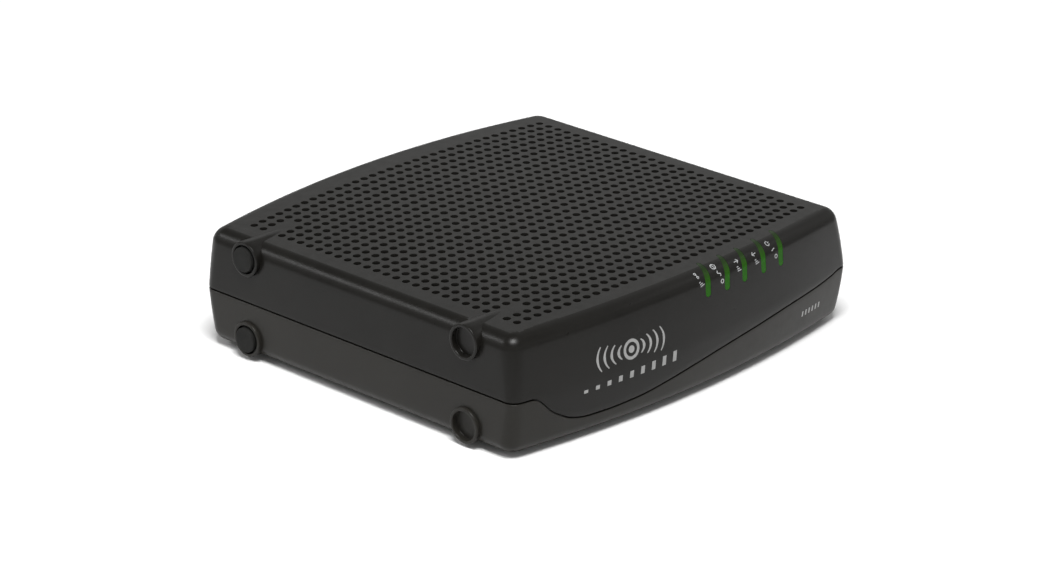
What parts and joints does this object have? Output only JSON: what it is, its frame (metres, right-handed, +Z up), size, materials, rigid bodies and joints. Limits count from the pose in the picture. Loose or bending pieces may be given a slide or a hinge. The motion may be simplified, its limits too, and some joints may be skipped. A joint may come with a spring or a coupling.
{
  "type": "cable modem",
  "caption": "Compact desktop cable modem with a perforated lid, bowed front with green light windows, and a rear panel with coax, network and power sockets.",
  "frame": {"origin": "centre of the whole box in plan, at the level of the undersides of the rubber feet", "axes": "+Z up, +X to the right seen from the front, +Y to the rear"},
  "size_m": [0.1346, 0.137, 0.0344],
  "materials": {
    "casing_upper": "satin fine-textured charcoal moulding",
    "casing_lower": "satin fine-textured warm charcoal moulding",
    "panel_black": "fine matt texture",
    "window_green": "clear moulding lit green",
    "rubber_black": "matt",
    "label_film": "satin polyester film",
    "board_green": "solder mask with copper traces",
    "chip_epoxy": "matt moulded epoxy",
    "sink_aluminium": "extruded, anodised",
    "thermal_grey": "soft silicone",
    "shield_tin": "tin-plated sheet",
    "screw_steel": "zinc plated",
    "nickel": "nickel plated",
    "insulator_white": "moulded PTFE",
    "contact_gold": "gold plated",
    "jack_black": "moulded nylon",
    "capacitor_sleeve": "shrink sleeve with a metal top",
    "ferrite_grey": "pressed ferrite",
    "ceramic_tan": "ceramic with tinned ends",
    "led_lens": "clear lens"
  },
  "bodies": {
    "root": {"top_cover": "casing_upper", "bottom_cover": "casing_lower", "rear_panel": "panel_black", "light_pipe": "window_green", "side_pads": "rubber_black", "rubber_feet": "rubber_black", "rating_label": "label_film", "cover_screws": "screw_steel", "board_screws": "screw_steel", "main_board": "board_green", "modem_chip": "chip_epoxy", "thermal_pad": "thermal_grey", "heat_sink": "sink_aluminium", "memory_chip": "chip_epoxy", "flash_chip": "chip_epoxy", "ethernet_magnetics": "chip_epoxy", "tuner_chip": "chip_epoxy", "power_regulators": "chip_epoxy", "power_inductors": "ferrite_grey", "electrolytic_capacitors": "capacitor_sleeve", "status_leds": "led_lens", "clock_crystal": "nickel", "chip_passives": "ceramic_tan", "tuner_shield_frame": "shield_tin", "tuner_shield_lid": "shield_tin", "coax_connector_body": "nickel", "coax_insulator": "insulator_white", "coax_contact": "contact_gold", "coax_washer": "nickel", "coax_nut": "nickel", "ethernet_jack_housing": "jack_black", "ethernet_jack_shield": "shield_tin", "ethernet_contacts": "contact_gold", "power_jack_housing": "jack_black", "power_jack_pin": "nickel", "power_jack_spring": "contact_gold", "reset_switch_body": "jack_black", "reset_switch_cap": "shield_tin"},
    "reset_button": {"reset_plunger": "jack_black"}
  },
  "joints": [
    {"name": "reset_press", "type": "slide", "parent": "root", "child": "reset_button", "axis": [0, -1, 0], "range_m": [0, 0.00035], "stiffness_N_per_m": 4000}
  ]
}
